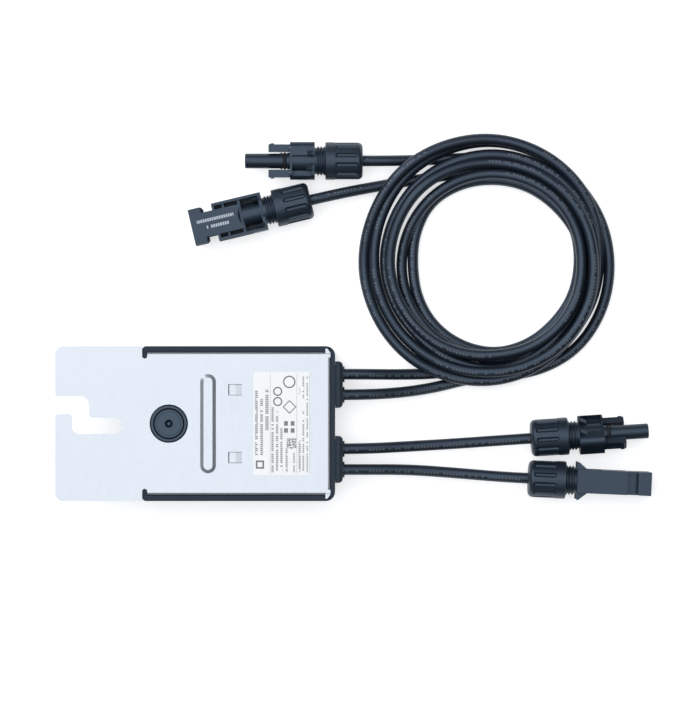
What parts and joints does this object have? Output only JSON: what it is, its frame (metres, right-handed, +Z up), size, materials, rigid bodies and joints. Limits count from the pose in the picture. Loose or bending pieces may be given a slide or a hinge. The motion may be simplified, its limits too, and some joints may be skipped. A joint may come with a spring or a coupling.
{
  "type": "micro inverter",
  "caption": "Flat potted power unit for a solar module, with a slotted metal bracket, short input leads, long coiled output leads and plug-in DC connectors with cap nuts.",
  "frame": {"origin": "middle of the main unit's underside, leads and connectors left out", "axes": "+X from the bracket's free edge towards the leads, +Y across the unit towards the output leads, +Z up out of the bracket's face"},
  "size_m": [0.2898, 0.1789, 0.028],
  "materials": {
    "black_casing": "fine moulded texture",
    "black_connector": "satin moulded",
    "cable_sheath": "satin sheath",
    "bracket_metal": "bright mill finish",
    "black_button": "satin",
    "white_label": "printed film",
    "potting_compound": "cast",
    "green_board": "solder mask",
    "zinc_steel": "zinc plated",
    "ferrite": "sintered",
    "copper": "enamelled copper",
    "capacitor_can": "drawn can",
    "chip_black": "moulded",
    "grey_pad": "soft pad",
    "spreader_aluminium": "extruded",
    "seal_rubber": "moulded seal",
    "contact_metal": "tin plated copper"
  },
  "bodies": {
    "root": {"casing_tray": "black_casing", "casing_lid": "black_casing", "bracket_plate": "bracket_metal", "lock_button": "black_button", "rating_label": "white_label", "output_gland": "black_casing", "input_gland": "black_casing", "potting_layer": "potting_compound", "circuit_board": "green_board", "board_screws": "zinc_steel", "inductor_core": "ferrite", "inductor_winding": "copper", "filter_choke_core": "ferrite", "filter_choke_winding": "copper", "input_capacitors": "capacitor_can", "output_capacitors": "capacitor_can", "power_transistors": "chip_black", "thermal_pad": "grey_pad", "heat_spreader": "spreader_aluminium", "control_chip": "chip_black", "signal_chip": "chip_black", "board_terminals": "zinc_steel", "inner_conductors": "copper", "input_slim_lead": "cable_sheath", "input_wide_lead": "cable_sheath", "output_slim_lead": "cable_sheath", "output_wide_lead": "cable_sheath", "output_slim_tail": "cable_sheath", "output_wide_tail": "cable_sheath", "output_coil": "cable_sheath", "output_slim_cable_seal": "seal_rubber", "output_slim_housing": "black_connector", "output_slim_socket_contact": "contact_metal", "output_slim_nose_seal": "seal_rubber", "output_wide_cable_seal": "seal_rubber", "output_wide_housing": "black_connector", "output_wide_pin_contact": "contact_metal", "input_slim_cable_seal": "seal_rubber", "input_slim_housing": "black_connector", "input_slim_socket_contact": "contact_metal", "input_slim_nose_seal": "seal_rubber", "input_wide_cable_seal": "seal_rubber", "input_wide_housing": "black_connector", "input_wide_pin_contact": "contact_metal"},
    "output_slim_cage": {"output_slim_clamp_cage": "black_connector"},
    "output_slim_nut": {"output_slim_cap_nut": "black_connector"},
    "output_slim_latch_a": {"output_slim_latch_arm_a": "black_connector"},
    "output_slim_latch_b": {"output_slim_latch_arm_b": "black_connector"},
    "output_wide_cage": {"output_wide_clamp_cage": "black_connector"},
    "output_wide_nut": {"output_wide_cap_nut": "black_connector"},
    "input_slim_cage": {"input_slim_clamp_cage": "black_connector"},
    "input_slim_nut": {"input_slim_cap_nut": "black_connector"},
    "input_slim_latch_a": {"input_slim_latch_arm_a": "black_connector"},
    "input_slim_latch_b": {"input_slim_latch_arm_b": "black_connector"},
    "input_wide_cage": {"input_wide_clamp_cage": "black_connector"},
    "input_wide_nut": {"input_wide_cap_nut": "black_connector"}
  },
  "joints": [
    {"name": "output_slim_nut_slide", "type": "slide", "parent": "root", "child": "output_slim_cage", "axis": [1, 0, 0], "range_m": [0, 0.0046]},
    {"name": "output_slim_nut_turn", "type": "hinge", "parent": "output_slim_cage", "child": "output_slim_nut", "pos_m": [0.0699, 0.1282, 0.0093], "axis": [1, 0, 0], "range_deg": [0, 1080]},
    {"name": "output_slim_latch_a_press", "type": "hinge", "parent": "root", "child": "output_slim_latch_a", "pos_m": [0.0414, 0.122, 0.0093], "axis": [0, 0, -1], "range_deg": [0, 4], "stiffness_Nm_per_rad": 0.2},
    {"name": "output_slim_latch_b_press", "type": "hinge", "parent": "root", "child": "output_slim_latch_b", "pos_m": [0.0414, 0.1344, 0.0093], "axis": [0, 0, 1], "range_deg": [0, 4], "stiffness_Nm_per_rad": 0.2},
    {"name": "output_wide_nut_slide", "type": "slide", "parent": "root", "child": "output_wide_cage", "axis": [0.9728, 0.2317, 0], "range_m": [0, 0.0046]},
    {"name": "output_wide_nut_turn", "type": "hinge", "parent": "output_wide_cage", "child": "output_wide_nut", "pos_m": [0.04475, 0.10701, 0.0093], "axis": [0.9728, 0.2317, 0], "range_deg": [0, 1080]},
    {"name": "input_slim_nut_slide", "type": "slide", "parent": "root", "child": "input_slim_cage", "axis": [-0.9979, -0.0645, 0], "range_m": [0, 0.0046]},
    {"name": "input_slim_nut_turn", "type": "hinge", "parent": "input_slim_cage", "child": "input_slim_nut", "pos_m": [0.17018, -0.00702, 0.0095], "axis": [-0.9979, -0.0645, 0], "range_deg": [0, 1080]},
    {"name": "input_slim_latch_a_press", "type": "hinge", "parent": "root", "child": "input_slim_latch_a", "pos_m": [0.19831, -0.00044, 0.00551], "axis": [0.0415, -0.6414, -0.766], "range_deg": [0, 4], "stiffness_Nm_per_rad": 0.2},
    {"name": "input_slim_latch_b_press", "type": "hinge", "parent": "root", "child": "input_slim_latch_b", "pos_m": [0.19893, -0.00992, 0.01349], "axis": [-0.0415, 0.6414, 0.766], "range_deg": [0, 4], "stiffness_Nm_per_rad": 0.2},
    {"name": "input_wide_nut_slide", "type": "slide", "parent": "root", "child": "input_wide_cage", "axis": [-0.999, 0.0436, 0], "range_m": [0, 0.0046]},
    {"name": "input_wide_nut_turn", "type": "hinge", "parent": "input_wide_cage", "child": "input_wide_nut", "pos_m": [0.16889, -0.02759, 0.0093], "axis": [-0.999, 0.0436, 0], "range_deg": [0, 1080]}
  ],
  "couplings": [
    {"joint": "output_slim_nut_slide", "follows": "output_slim_nut_turn", "m_per_rad": 0.00023873},
    {"joint": "output_wide_nut_slide", "follows": "output_wide_nut_turn", "m_per_rad": 0.00023873},
    {"joint": "input_slim_nut_slide", "follows": "input_slim_nut_turn", "m_per_rad": 0.00023873},
    {"joint": "input_wide_nut_slide", "follows": "input_wide_nut_turn", "m_per_rad": 0.00023873}
  ]
}
